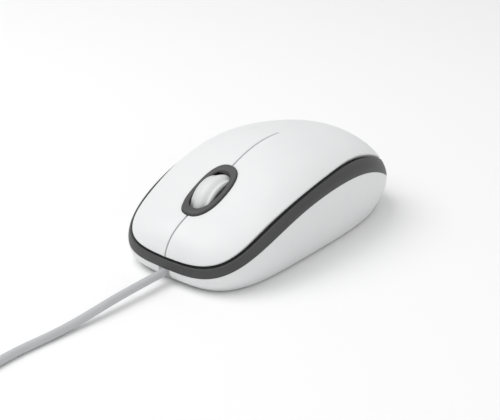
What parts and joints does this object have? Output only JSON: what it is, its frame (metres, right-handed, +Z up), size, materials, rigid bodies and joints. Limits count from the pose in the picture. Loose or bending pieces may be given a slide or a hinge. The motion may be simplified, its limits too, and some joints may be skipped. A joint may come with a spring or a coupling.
{
  "type": "computer mouse",
  "caption": "Wired optical computer mouse: low oval case with two click keys, a scroll wheel in a raised ring, a curved trim band, glide feet and a cable ending in a USB plug.",
  "frame": {"origin": "centre of the case's footprint, on the surface that the glide feet rest on (cable and plug not counted)", "axes": "+Z up, -Y the cable end (front), +X the user's left when the hand comes from +Y"},
  "size_m": [0.0958, 0.2467, 0.0387],
  "materials": {
    "white_abs": "satin moulded",
    "dark_abs": "fine texture",
    "black_plastic": "moulded",
    "white_nylon": "moulded",
    "hub_plastic": "moulded",
    "wheel_rubber": "smooth",
    "board_laminate": "solder mask",
    "can_aluminium": "sleeved",
    "screw_steel": "zinc plated",
    "clear_plastic": "clear",
    "foot_plastic": "low friction",
    "label_paper": "blank",
    "cable_jacket": "PVC",
    "lead_insulation": "PVC",
    "tie_strap": "soft",
    "plug_overmould": "PVC",
    "shell_steel": "nickel plated",
    "contact_gold": "gold plated"
  },
  "bodies": {
    "root": {"bottom_shell": "white_abs", "trim_band": "dark_abs", "palm_cover": "white_abs", "wheel_bezel": "dark_abs", "bezel_legs": "dark_abs", "cradle_mount": "black_plastic", "circuit_board": "board_laminate", "left_switch": "black_plastic", "right_switch": "black_plastic", "wheel_switch": "black_plastic", "board_chips": "black_plastic", "capacitors": "can_aluminium", "board_screws": "screw_steel", "sensor_chip": "black_plastic", "sensor_lens": "clear_plastic", "sensor_led": "clear_plastic", "led_clip": "black_plastic", "front_foot": "foot_plastic", "rear_foot": "foot_plastic", "base_label": "label_paper", "case_screw": "screw_steel", "cable_grommet": "cable_jacket", "cable_lead_in": "cable_jacket", "board_socket": "white_nylon", "board_plug": "white_nylon", "inner_leads": "lead_insulation", "cable": "cable_jacket", "cable_coil": "cable_jacket", "cable_tail": "cable_jacket", "cable_tie": "tie_strap", "plug_relief": "plug_overmould", "plug_grip": "plug_overmould", "plug_shell": "shell_steel", "plug_tongue": "white_nylon", "plug_contacts": "contact_gold"},
    "left_key": {"left_button": "white_abs"},
    "right_key": {"right_button": "white_abs"},
    "left_key_plunger": {"left_plunger": "white_nylon"},
    "right_key_plunger": {"right_plunger": "white_nylon"},
    "cradle": {"wheel_cradle": "black_plastic", "encoder_housing": "black_plastic"},
    "wheel": {"wheel_tyre": "wheel_rubber", "wheel_hub": "hub_plastic", "encoder_rotor": "white_nylon"},
    "middle_plunger": {"wheel_plunger": "white_nylon"}
  },
  "joints": [
    {"name": "left_click", "type": "hinge", "parent": "root", "child": "left_key", "pos_m": [0, 0.007, 0.033], "axis": [1, 0, 0], "range_deg": [0, 0.55], "stiffness_Nm_per_rad": 3.4},
    {"name": "right_click", "type": "hinge", "parent": "root", "child": "right_key", "pos_m": [0, 0.007, 0.033], "axis": [1, 0, 0], "range_deg": [0, 0.55], "stiffness_Nm_per_rad": 3.4},
    {"name": "left_plunger_press", "type": "slide", "parent": "root", "child": "left_key_plunger", "axis": [0, 0, -1], "range_m": [0, 0.0005]},
    {"name": "right_plunger_press", "type": "slide", "parent": "root", "child": "right_key_plunger", "axis": [0, 0, -1], "range_m": [0, 0.0005]},
    {"name": "wheel_press", "type": "hinge", "parent": "root", "child": "cradle", "pos_m": [0, -0.0146, 0.012], "axis": [1, 0, 0], "range_deg": [0, 1.2], "stiffness_Nm_per_rad": 0.65},
    {"name": "wheel_spin", "type": "hinge", "parent": "cradle", "child": "wheel", "pos_m": [0, -0.0278, 0.0194], "axis": [1, 0, 0], "continuous": true},
    {"name": "middle_plunger_press", "type": "slide", "parent": "root", "child": "middle_plunger", "axis": [0, 0, -1], "range_m": [0, 0.00056]}
  ],
  "couplings": [
    {"joint": "left_plunger_press", "follows": "left_click", "m_per_rad": 0.048},
    {"joint": "right_plunger_press", "follows": "right_click", "m_per_rad": 0.048},
    {"joint": "middle_plunger_press", "follows": "wheel_press", "m_per_rad": 0.0263}
  ]
}
